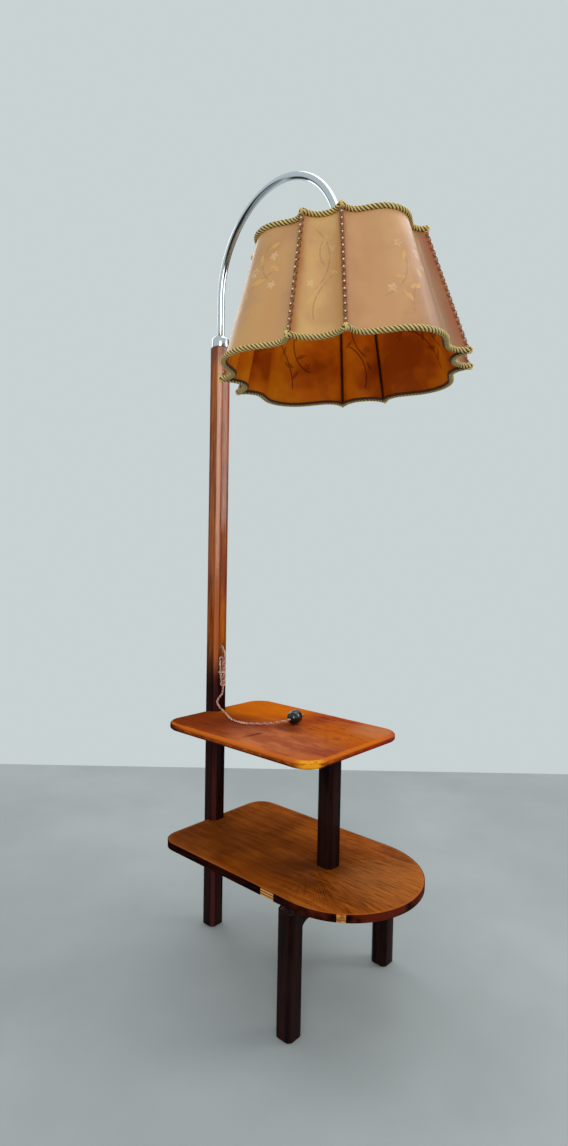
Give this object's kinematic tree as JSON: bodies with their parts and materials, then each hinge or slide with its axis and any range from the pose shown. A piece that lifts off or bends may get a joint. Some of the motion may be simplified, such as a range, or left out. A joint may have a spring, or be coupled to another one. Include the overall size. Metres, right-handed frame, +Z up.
{
  "type": "floor lamp with side table",
  "caption": "Floor lamp built into a tiered wooden side table: a chrome bow on the chamfered mast swings a scalloped, laced parchment shade over the boards, with the cord tied up short",
  "frame": {"origin": "the middle of the mast's foot on the floor", "axes": "+Z up along the mast; +X along the boards from the mast to the round end of the lower shelf; -Y towards the front leg"},
  "size_m": [0.6783, 0.4849, 1.7622],
  "materials": {
    "brass": "plain turned brass",
    "chrome_plate": "polished chrome plate",
    "dark_bakelite": "pressed dark brown-black thermoset, glossy",
    "dark_polished_wood": "french-polished dark red-brown wood, glossy, lighter on the planed corners",
    "edge_veneer": "dark mahogany edge strip, chipped in two places",
    "frame_wire": "tinned steel wire, dulled",
    "frosted_glass": "frosted glass with a thin metal cap",
    "parchment": "waxed parchment-like card, painted with a loose leaf design, darker inside",
    "shelf_veneer": "streaky mid-brown veneer, shellacked",
    "twisted_flex": "two cloth-braided cores twisted together, faded pink and cream",
    "upper_veneer": "orange-brown veneer under worn shellac, edges rubbed to yellow",
    "white_ceramic": "glazed white ceramic"
  },
  "bodies": {
    "base": {"arm_bush": "brass", "cord_hank": "twisted_flex", "cord_lead": "twisted_flex", "cord_start": "twisted_flex", "cross_rail": "dark_polished_wood", "front_leg": "dark_polished_wood", "lower_shelf": "shelf_veneer", "plug_base": "dark_bakelite", "plug_cover": "dark_bakelite", "plug_pins": "brass", "post": "dark_polished_wood", "post_collar": "chrome_plate", "post_lead": "twisted_flex", "rear_leg": "dark_polished_wood", "shelf_edge_band": "edge_veneer", "short_column": "dark_polished_wood", "table_screws": "brass", "upper_table": "upper_veneer"},
    "arm": {"arch_tube": "chrome_plate", "arm_lead": "twisted_flex", "lampholder_cap": "dark_bakelite", "lampholder_body": "dark_bakelite", "lampholder_insert": "white_ceramic", "bulb": "frosted_glass", "shade_spider": "frame_wire", "shade_ring_nut": "dark_bakelite", "top_frame_wire": "frame_wire", "bottom_frame_wire": "frame_wire", "seam_ribs": "frame_wire", "narrow_panel_1": "parchment", "narrow_panel_2": "parchment", "narrow_panel_3": "parchment", "narrow_panel_4": "parchment", "wide_panel_1": "parchment", "wide_panel_2": "parchment", "wide_panel_3": "parchment", "wide_panel_4": "parchment"},
    "switch_key": {"switch_key": "dark_bakelite"}
  },
  "joints": [
    {"name": "arm_swivel", "type": "hinge", "parent": "base", "child": "arm", "pos_m": [0, 0, 1.434], "axis": [0, 0, 1], "range_deg": [-170, 170]},
    {"name": "switch_turn", "type": "hinge", "parent": "arm", "child": "switch_key", "pos_m": [0.40145, -0.02632, 1.53503], "axis": [0.1149, 0.9934, 0], "continuous": true}
  ]
}
